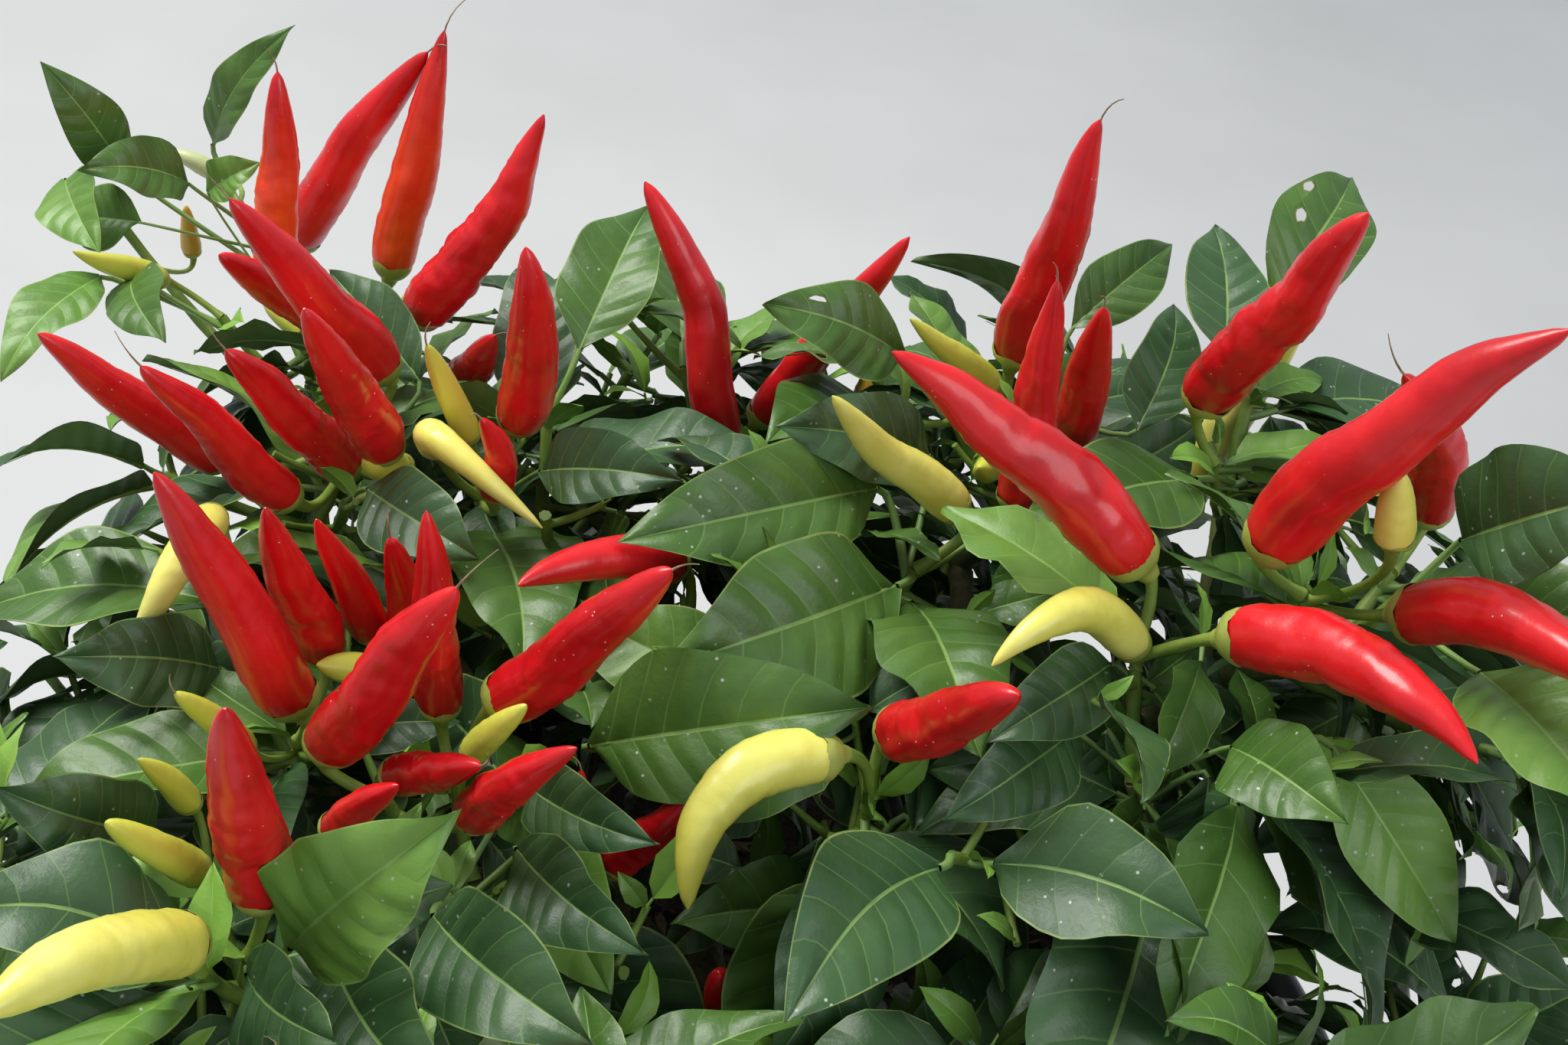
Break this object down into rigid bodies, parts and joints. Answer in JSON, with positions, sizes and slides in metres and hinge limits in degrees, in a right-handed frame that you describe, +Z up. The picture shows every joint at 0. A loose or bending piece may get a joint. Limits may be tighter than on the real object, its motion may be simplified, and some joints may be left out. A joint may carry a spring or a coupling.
{
  "type": "potted ornamental chilli plant",
  "caption": "Bushy chilli pepper plant with upright red and yellow pods over dark green leaves, in a round black nursery pot",
  "frame": {"origin": "centre of the pot's flat underside, on the floor it stands on", "axes": "+Z up through the trunk, -Y towards the front of the crown (the picture's viewer), +X to the crown's higher side"},
  "size_m": [0.3088, 0.2676, 0.389],
  "materials": {
    "pot_plastic": "satin",
    "compost": "matte",
    "bark": "matte",
    "foliage": "satin",
    "pods": "gloss"
  },
  "bodies": {
    "root": {"pot": "pot_plastic", "compost": "compost", "trunk": "bark", "bough_left": "bark", "bough_right": "bark", "bough_front": "bark", "bough_back": "bark", "bough_left_back": "bark", "bough_left_side": "bark", "bough_left_front": "bark", "bough_front_right": "bark", "bough_back_left": "bark", "bough_right_back": "bark", "bough_right_side": "bark", "bough_right_front": "bark", "foliage_back_left": "foliage", "foliage_left_upper": "foliage", "foliage_middle_left": "foliage", "foliage_left": "foliage", "foliage_near_left": "foliage", "foliage_front_left": "foliage", "foliage_middle": "foliage", "foliage_back": "foliage", "foliage_middle_right": "foliage", "foliage_back_right": "foliage", "foliage_right_back": "foliage", "foliage_right": "foliage", "foliage_near_right": "foliage", "foliage_near_middle": "foliage", "foliage_left_outer": "foliage", "foliage_left_front_outer": "foliage", "foliage_back_left_outer": "foliage", "foliage_back_right_outer": "foliage", "foliage_right_outer": "foliage", "foliage_right_low": "foliage", "foliage_front": "foliage", "foliage_front_right": "foliage", "foliage_front_outer": "foliage"}
  },
  "joints": []
}
